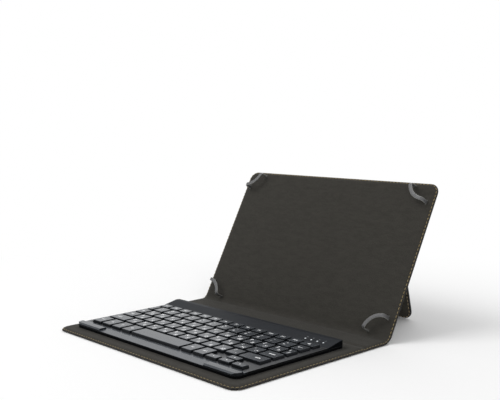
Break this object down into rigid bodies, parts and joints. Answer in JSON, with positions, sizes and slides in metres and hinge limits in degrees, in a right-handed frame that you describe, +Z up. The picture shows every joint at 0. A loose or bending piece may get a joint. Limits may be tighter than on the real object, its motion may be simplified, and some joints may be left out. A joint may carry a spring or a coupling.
{
  "type": "tablet keyboard case",
  "caption": "Folding leather-look tablet case with a slim keyboard inside, elastic corner bands for the tablet, a kickstand flap on its back and a magnetic closing strap.",
  "frame": {"origin": "centre of the keyboard cover, on its flat underside", "axes": "+X to the typist's right, +Y away from the typist along the open case, +Z up from the table"},
  "size_m": [0.26, 0.2911, 0.146],
  "materials": {
    "cover_leather": "pebbled, semi-matt",
    "stand_leather": "pebbled, semi-matt",
    "strap_leather": "pebbled, semi-matt",
    "lining_cloth": "brushed microfibre",
    "stand_cloth": "brushed microfibre",
    "stiffener": "grey pulp board",
    "magnet": "plated",
    "elastic": "covered elastic",
    "adhesive_pad": "foam tape",
    "housing_plastic": "satin",
    "deck_plastic": "satin",
    "keycap_plastic": "fine matt",
    "key_steel": "plain sheet",
    "dome_rubber": "translucent",
    "circuit": "solder mask",
    "battery_wrap": "foil pouch",
    "light_pipe": "clear",
    "socket_metal": "plated",
    "switch_plastic": "satin"
  },
  "bodies": {
    "keyboard_cover": {"keyboard_cover_skin": "cover_leather", "keyboard_cover_board": "stiffener", "keyboard_cover_lining": "lining_cloth", "catch_magnet": "magnet", "fixing_pads": "adhesive_pad", "keyboard_base": "housing_plastic", "key_plate": "key_steel", "dome_sheet": "dome_rubber", "keyboard_deck": "deck_plastic", "front_rail": "housing_plastic", "rear_housing": "housing_plastic", "main_board": "circuit", "battery": "battery_wrap", "indicator_lights": "light_pipe", "charge_socket": "socket_metal"},
    "spine": {"spine_skin": "cover_leather", "spine_board": "stiffener", "spine_lining": "lining_cloth"},
    "tablet_cover": {"tablet_cover_skin": "cover_leather", "tablet_cover_board": "stiffener", "tablet_cover_lining": "lining_cloth", "band_top_left": "elastic", "band_top_right": "elastic", "band_bottom_left": "elastic", "band_bottom_right": "elastic", "kickstand_tab": "stand_leather", "strap_patch": "strap_leather"},
    "kickstand": {"kickstand_skin": "stand_leather", "kickstand_board": "stiffener", "kickstand_lining": "stand_cloth"},
    "strap": {"strap_bridge": "strap_leather"},
    "strap_tip": {"strap_tongue": "strap_leather", "strap_backing": "strap_leather", "strap_magnet": "magnet"},
    "switch": {"power_switch": "switch_plastic"},
    "escape_key": {"escape_key": "keycap_plastic"},
    "function_keys": {"function_keys": "keycap_plastic"},
    "lock_key": {"lock_key": "keycap_plastic"},
    "number_keys": {"number_keys": "keycap_plastic"},
    "backspace_key": {"backspace_key": "keycap_plastic"},
    "tab_key": {"tab_key": "keycap_plastic"},
    "upper_letter_keys": {"upper_letter_keys": "keycap_plastic"},
    "caps_key": {"caps_key": "keycap_plastic"},
    "middle_letter_keys": {"middle_letter_keys": "keycap_plastic"},
    "enter_key": {"enter_key": "keycap_plastic"},
    "left_shift_key": {"left_shift_key": "keycap_plastic"},
    "lower_letter_keys": {"lower_letter_keys": "keycap_plastic"},
    "right_shift_key": {"right_shift_key": "keycap_plastic"},
    "control_key": {"control_key": "keycap_plastic"},
    "fn_key": {"fn_key": "keycap_plastic"},
    "system_key": {"system_key": "keycap_plastic"},
    "alt_key": {"alt_key": "keycap_plastic"},
    "space_key": {"space_key": "keycap_plastic"},
    "right_alt_key": {"right_alt_key": "keycap_plastic"},
    "right_control_key": {"right_control_key": "keycap_plastic"},
    "left_arrow_key": {"left_arrow_key": "keycap_plastic"},
    "up_arrow_key": {"up_arrow_key": "keycap_plastic"},
    "down_arrow_key": {"down_arrow_key": "keycap_plastic"},
    "right_arrow_key": {"right_arrow_key": "keycap_plastic"}
  },
  "joints": [
    {"name": "keyboard_fold", "type": "hinge", "parent": "keyboard_cover", "child": "spine", "pos_m": [0, 0.0815, 0.0009], "axis": [1, 0, 0], "range_deg": [0, 90]},
    {"name": "tablet_fold", "type": "hinge", "parent": "spine", "child": "tablet_cover", "pos_m": [0, 0.1155, 0.0009], "axis": [1, 0, 0], "range_deg": [-61, 29]},
    {"name": "kickstand_hinge", "type": "hinge", "parent": "tablet_cover", "child": "kickstand", "pos_m": [0, 0.1793, 0.11188], "axis": [1, 0, 0], "range_deg": [-43, 0]},
    {"name": "strap_fold", "type": "hinge", "parent": "tablet_cover", "child": "strap", "pos_m": [0, 0.19965, 0.14096], "axis": [1, 0, 0], "range_deg": [0, 239]},
    {"name": "strap_tip_fold", "type": "hinge", "parent": "strap", "child": "strap_tip", "pos_m": [0, 0.19965, 0.10006], "axis": [1, 0, 0], "range_deg": [0, 92]},
    {"name": "switch_slide", "type": "slide", "parent": "keyboard_cover", "child": "switch", "axis": [0, 1, 0], "range_m": [0, 0.002]},
    {"name": "escape_key_press", "type": "slide", "parent": "keyboard_cover", "child": "escape_key", "axis": [0, 0, -1], "range_m": [0, 0.0015], "stiffness_N_per_m": 400, "springref_m": -0.001, "deforming": ["dome_sheet"]},
    {"name": "function_keys_press", "type": "slide", "parent": "keyboard_cover", "child": "function_keys", "axis": [0, 0, -1], "range_m": [0, 0.0015], "stiffness_N_per_m": 1200, "springref_m": -0.001, "deforming": ["dome_sheet"]},
    {"name": "lock_key_press", "type": "slide", "parent": "keyboard_cover", "child": "lock_key", "axis": [0, 0, -1], "range_m": [0, 0.0015], "stiffness_N_per_m": 400, "springref_m": -0.001, "deforming": ["dome_sheet"]},
    {"name": "number_keys_press", "type": "slide", "parent": "keyboard_cover", "child": "number_keys", "axis": [0, 0, -1], "range_m": [0, 0.0015], "stiffness_N_per_m": 1200, "springref_m": -0.001, "deforming": ["dome_sheet"]},
    {"name": "backspace_key_press", "type": "slide", "parent": "keyboard_cover", "child": "backspace_key", "axis": [0, 0, -1], "range_m": [0, 0.0015], "stiffness_N_per_m": 400, "springref_m": -0.001, "deforming": ["dome_sheet"]},
    {"name": "tab_key_press", "type": "slide", "parent": "keyboard_cover", "child": "tab_key", "axis": [0, 0, -1], "range_m": [0, 0.0015], "stiffness_N_per_m": 400, "springref_m": -0.001, "deforming": ["dome_sheet"]},
    {"name": "upper_letter_keys_press", "type": "slide", "parent": "keyboard_cover", "child": "upper_letter_keys", "axis": [0, 0, -1], "range_m": [0, 0.0015], "stiffness_N_per_m": 1200, "springref_m": -0.001, "deforming": ["dome_sheet"]},
    {"name": "caps_key_press", "type": "slide", "parent": "keyboard_cover", "child": "caps_key", "axis": [0, 0, -1], "range_m": [0, 0.0015], "stiffness_N_per_m": 400, "springref_m": -0.001, "deforming": ["dome_sheet"]},
    {"name": "middle_letter_keys_press", "type": "slide", "parent": "keyboard_cover", "child": "middle_letter_keys", "axis": [0, 0, -1], "range_m": [0, 0.0015], "stiffness_N_per_m": 1200, "springref_m": -0.001, "deforming": ["dome_sheet"]},
    {"name": "enter_key_press", "type": "slide", "parent": "keyboard_cover", "child": "enter_key", "axis": [0, 0, -1], "range_m": [0, 0.0015], "stiffness_N_per_m": 400, "springref_m": -0.001, "deforming": ["dome_sheet"]},
    {"name": "left_shift_key_press", "type": "slide", "parent": "keyboard_cover", "child": "left_shift_key", "axis": [0, 0, -1], "range_m": [0, 0.0015], "stiffness_N_per_m": 400, "springref_m": -0.001, "deforming": ["dome_sheet"]},
    {"name": "lower_letter_keys_press", "type": "slide", "parent": "keyboard_cover", "child": "lower_letter_keys", "axis": [0, 0, -1], "range_m": [0, 0.0015], "stiffness_N_per_m": 1200, "springref_m": -0.001, "deforming": ["dome_sheet"]},
    {"name": "right_shift_key_press", "type": "slide", "parent": "keyboard_cover", "child": "right_shift_key", "axis": [0, 0, -1], "range_m": [0, 0.0015], "stiffness_N_per_m": 400, "springref_m": -0.001, "deforming": ["dome_sheet"]},
    {"name": "control_key_press", "type": "slide", "parent": "keyboard_cover", "child": "control_key", "axis": [0, 0, -1], "range_m": [0, 0.0015], "stiffness_N_per_m": 400, "springref_m": -0.001, "deforming": ["dome_sheet"]},
    {"name": "fn_key_press", "type": "slide", "parent": "keyboard_cover", "child": "fn_key", "axis": [0, 0, -1], "range_m": [0, 0.0015], "stiffness_N_per_m": 400, "springref_m": -0.001, "deforming": ["dome_sheet"]},
    {"name": "system_key_press", "type": "slide", "parent": "keyboard_cover", "child": "system_key", "axis": [0, 0, -1], "range_m": [0, 0.0015], "stiffness_N_per_m": 400, "springref_m": -0.001, "deforming": ["dome_sheet"]},
    {"name": "alt_key_press", "type": "slide", "parent": "keyboard_cover", "child": "alt_key", "axis": [0, 0, -1], "range_m": [0, 0.0015], "stiffness_N_per_m": 400, "springref_m": -0.001, "deforming": ["dome_sheet"]},
    {"name": "space_key_press", "type": "slide", "parent": "keyboard_cover", "child": "space_key", "axis": [0, 0, -1], "range_m": [0, 0.0015], "stiffness_N_per_m": 400, "springref_m": -0.001, "deforming": ["dome_sheet"]},
    {"name": "right_alt_key_press", "type": "slide", "parent": "keyboard_cover", "child": "right_alt_key", "axis": [0, 0, -1], "range_m": [0, 0.0015], "stiffness_N_per_m": 400, "springref_m": -0.001, "deforming": ["dome_sheet"]},
    {"name": "right_control_key_press", "type": "slide", "parent": "keyboard_cover", "child": "right_control_key", "axis": [0, 0, -1], "range_m": [0, 0.0015], "stiffness_N_per_m": 400, "springref_m": -0.001, "deforming": ["dome_sheet"]},
    {"name": "left_arrow_key_press", "type": "slide", "parent": "keyboard_cover", "child": "left_arrow_key", "axis": [0, 0, -1], "range_m": [0, 0.0015], "stiffness_N_per_m": 400, "springref_m": -0.001, "deforming": ["dome_sheet"]},
    {"name": "up_arrow_key_press", "type": "slide", "parent": "keyboard_cover", "child": "up_arrow_key", "axis": [0, 0, -1], "range_m": [0, 0.0015], "stiffness_N_per_m": 400, "springref_m": -0.001, "deforming": ["dome_sheet"]},
    {"name": "down_arrow_key_press", "type": "slide", "parent": "keyboard_cover", "child": "down_arrow_key", "axis": [0, 0, -1], "range_m": [0, 0.0015], "stiffness_N_per_m": 400, "springref_m": -0.001, "deforming": ["dome_sheet"]},
    {"name": "right_arrow_key_press", "type": "slide", "parent": "keyboard_cover", "child": "right_arrow_key", "axis": [0, 0, -1], "range_m": [0, 0.0015], "stiffness_N_per_m": 400, "springref_m": -0.001, "deforming": ["dome_sheet"]}
  ]
}
